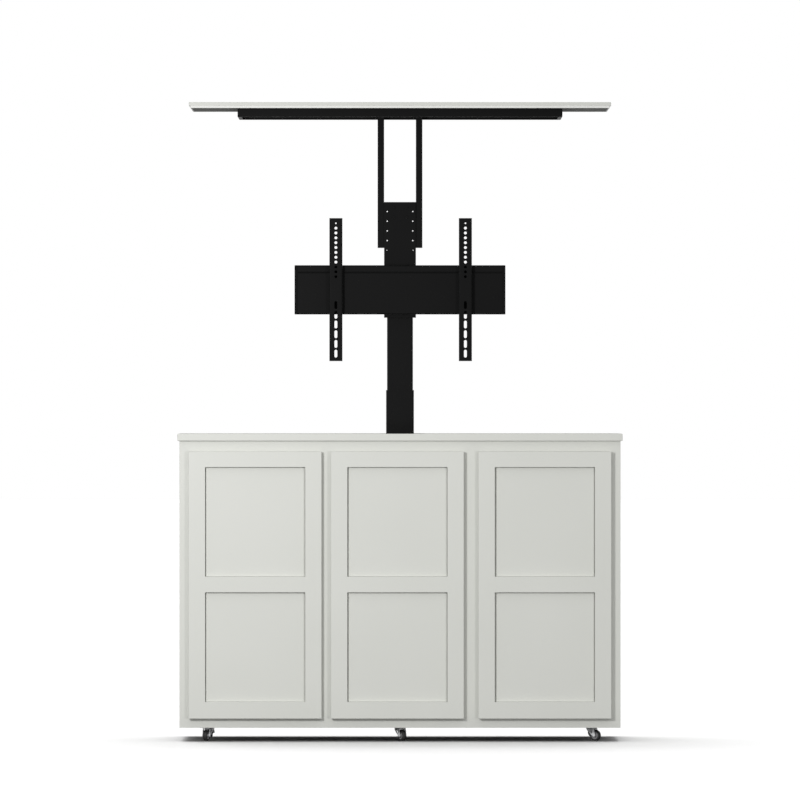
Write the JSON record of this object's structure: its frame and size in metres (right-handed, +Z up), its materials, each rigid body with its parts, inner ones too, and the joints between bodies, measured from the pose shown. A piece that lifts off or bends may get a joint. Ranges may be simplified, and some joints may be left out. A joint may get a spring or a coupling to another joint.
{
  "type": "tv lift cabinet",
  "caption": "Sideboard on castors with shaker doors; a telescopic column raises a television bracket and the lid above it.",
  "frame": {"origin": "on the floor under the middle of the bounding box, lift fully raised and doors shut", "axes": "+Z up, -Y out of the doors, +X to the right of someone facing the doors"},
  "size_m": [1.362, 0.422, 1.958],
  "materials": {
    "cabinet_paint": "satin paint",
    "inside_board": "satin melamine",
    "lid_primer": "satin primer",
    "black_steel": "satin powder coat",
    "zinc": "bright zinc plating",
    "hinge_nickel": "nickel plating",
    "screw_steel": "bright",
    "nut_metal": "satin",
    "motor_black": "satin",
    "glide_plastic": "matt",
    "black_plastic": "matt",
    "grey_plastic": "matt",
    "castor_tyre": "matt",
    "bumper_clear": "satin"
  },
  "bodies": {
    "cabinet": {"side_panel_left": "cabinet_paint", "side_panel_right": "cabinet_paint", "floor_panel": "inside_board", "back_panel": "inside_board", "face_frame": "cabinet_paint", "top_frame": "cabinet_paint", "column_base": "black_steel", "column_stage_1": "black_steel", "column_glides_1": "glide_plastic", "steady_bracket": "black_steel", "drive_motor": "motor_black", "control_box": "black_plastic", "cable_gland": "black_plastic", "cabinet_screws": "screw_steel", "hinge_arms": "hinge_nickel", "push_latches": "grey_plastic", "castor_plates": "zinc", "door_bumpers": "bumper_clear"},
    "stage_2": {"column_stage_2": "black_steel", "column_glides_2": "glide_plastic", "lift_nut": "nut_metal"},
    "stage_3": {"column_stage_3": "black_steel", "column_glides_3": "glide_plastic"},
    "stage_4": {"column_stage_4": "black_steel", "column_glides_4": "glide_plastic", "column_cap": "black_steel", "head_plate": "black_steel", "tv_cross_plate": "black_steel", "vesa_rail_left": "black_steel", "vesa_rail_right": "black_steel", "lid_bracket": "black_steel", "lid_tray": "black_steel", "lid_panel": "cabinet_paint", "lid_under_board": "lid_primer", "lift_fasteners": "black_steel"},
    "screw": {"drive_screw": "screw_steel"},
    "door_left": {"door_left_frame": "cabinet_paint", "door_left_panels": "cabinet_paint", "door_left_hinge_cups": "hinge_nickel"},
    "latch_plunger_left": {"latch_plunger_left": "glide_plastic"},
    "door_middle": {"door_middle_frame": "cabinet_paint", "door_middle_panels": "cabinet_paint", "door_middle_hinge_cups": "hinge_nickel"},
    "latch_plunger_middle": {"latch_plunger_middle": "glide_plastic"},
    "door_right": {"door_right_frame": "cabinet_paint", "door_right_panels": "cabinet_paint", "door_right_hinge_cups": "hinge_nickel"},
    "latch_plunger_right": {"latch_plunger_right": "glide_plastic"},
    "castor_fork_front_left": {"castor_fork_front_left": "zinc"},
    "castor_wheel_front_left": {"castor_wheel_front_left": "castor_tyre"},
    "castor_fork_front_middle": {"castor_fork_front_middle": "zinc"},
    "castor_wheel_front_middle": {"castor_wheel_front_middle": "castor_tyre"},
    "castor_fork_front_right": {"castor_fork_front_right": "zinc"},
    "castor_wheel_front_right": {"castor_wheel_front_right": "castor_tyre"},
    "castor_fork_rear_left": {"castor_fork_rear_left": "zinc"},
    "castor_wheel_rear_left": {"castor_wheel_rear_left": "castor_tyre"},
    "castor_fork_rear_middle": {"castor_fork_rear_middle": "zinc"},
    "castor_wheel_rear_middle": {"castor_wheel_rear_middle": "castor_tyre"},
    "castor_fork_rear_right": {"castor_fork_rear_right": "zinc"},
    "castor_wheel_rear_right": {"castor_wheel_rear_right": "castor_tyre"}
  },
  "joints": [
    {"name": "stage_2_slide", "type": "slide", "parent": "cabinet", "child": "stage_2", "axis": [0, 0, 1], "range_m": [-0.45, 0]},
    {"name": "stage_3_slide", "type": "slide", "parent": "stage_2", "child": "stage_3", "axis": [0, 0, 1], "range_m": [-0.44, 0]},
    {"name": "stage_4_slide", "type": "slide", "parent": "stage_3", "child": "stage_4", "axis": [0, 0, 1], "range_m": [-0.126, 0]},
    {"name": "drive_screw_turn", "type": "hinge", "parent": "cabinet", "child": "screw", "pos_m": [0, 0.14, 0.3], "axis": [0, 0, 1], "continuous": true},
    {"name": "door_left_swing", "type": "hinge", "parent": "cabinet", "child": "door_left", "pos_m": [-0.64, -0.201, 0.479], "axis": [0, 0, 1], "range_deg": [-100, 0]},
    {"name": "door_middle_swing", "type": "hinge", "parent": "cabinet", "child": "door_middle", "pos_m": [0.189, -0.201, 0.479], "axis": [0, 0, 1], "range_deg": [0, 100]},
    {"name": "door_right_swing", "type": "hinge", "parent": "cabinet", "child": "door_right", "pos_m": [0.64, -0.201, 0.479], "axis": [0, 0, 1], "range_deg": [0, 100]},
    {"name": "latch_left_press", "type": "slide", "parent": "cabinet", "child": "latch_plunger_left", "axis": [0, 1, 0], "range_m": [0, 0.002], "stiffness_N_per_m": 200},
    {"name": "latch_middle_press", "type": "slide", "parent": "cabinet", "child": "latch_plunger_middle", "axis": [0, 1, 0], "range_m": [0, 0.002], "stiffness_N_per_m": 200},
    {"name": "latch_right_press", "type": "slide", "parent": "cabinet", "child": "latch_plunger_right", "axis": [0, 1, 0], "range_m": [0, 0.002], "stiffness_N_per_m": 200},
    {"name": "castor_swivel_front_left", "type": "hinge", "parent": "cabinet", "child": "castor_fork_front_left", "pos_m": [-0.589, -0.13, 0.036], "axis": [0, 0, 1], "continuous": true},
    {"name": "castor_roll_front_left", "type": "hinge", "parent": "castor_fork_front_left", "child": "castor_wheel_front_left", "pos_m": [-0.5935, -0.14113, 0.017], "axis": [0.9272, -0.3746, 0], "continuous": true},
    {"name": "castor_swivel_front_middle", "type": "hinge", "parent": "cabinet", "child": "castor_fork_front_middle", "pos_m": [0, -0.13, 0.036], "axis": [0, 0, 1], "continuous": true},
    {"name": "castor_roll_front_middle", "type": "hinge", "parent": "castor_fork_front_middle", "child": "castor_wheel_front_middle", "pos_m": [0.00636, -0.14018, 0.017], "axis": [0.848, 0.5299, 0], "continuous": true},
    {"name": "castor_swivel_front_right", "type": "hinge", "parent": "cabinet", "child": "castor_fork_front_right", "pos_m": [0.589, -0.13, 0.036], "axis": [0, 0, 1], "continuous": true},
    {"name": "castor_roll_front_right", "type": "hinge", "parent": "castor_fork_front_right", "child": "castor_wheel_front_right", "pos_m": [0.59939, -0.136, 0.017], "axis": [0.5, 0.866, 0], "continuous": true},
    {"name": "castor_swivel_rear_left", "type": "hinge", "parent": "cabinet", "child": "castor_fork_rear_left", "pos_m": [-0.589, 0.15, 0.036], "axis": [0, 0, 1], "continuous": true},
    {"name": "castor_roll_rear_left", "type": "hinge", "parent": "castor_fork_rear_left", "child": "castor_wheel_rear_left", "pos_m": [-0.58775, 0.13807, 0.017], "axis": [0.9945, 0.1045, 0], "continuous": true},
    {"name": "castor_swivel_rear_middle", "type": "hinge", "parent": "cabinet", "child": "castor_fork_rear_middle", "pos_m": [0, 0.15, 0.036], "axis": [0, 0, 1], "continuous": true},
    {"name": "castor_roll_rear_middle", "type": "hinge", "parent": "castor_fork_rear_middle", "child": "castor_wheel_rear_middle", "pos_m": [0.006, 0.13961, 0.017], "axis": [0.866, 0.5, 0], "continuous": true},
    {"name": "castor_swivel_rear_right", "type": "hinge", "parent": "cabinet", "child": "castor_fork_rear_right", "pos_m": [0.589, 0.15, 0.036], "axis": [0, 0, 1], "continuous": true},
    {"name": "castor_roll_rear_right", "type": "hinge", "parent": "castor_fork_rear_right", "child": "castor_wheel_rear_right", "pos_m": [0.59792, 0.14197, 0.017], "axis": [0.6691, 0.7431, 0], "continuous": true}
  ],
  "couplings": [
    {"joint": "stage_3_slide", "follows": "stage_2_slide", "ratio": 0.97778},
    {"joint": "stage_4_slide", "follows": "stage_2_slide", "ratio": 0.28},
    {"joint": "drive_screw_turn", "follows": "stage_2_slide", "rad_per_m": 523.6}
  ]
}
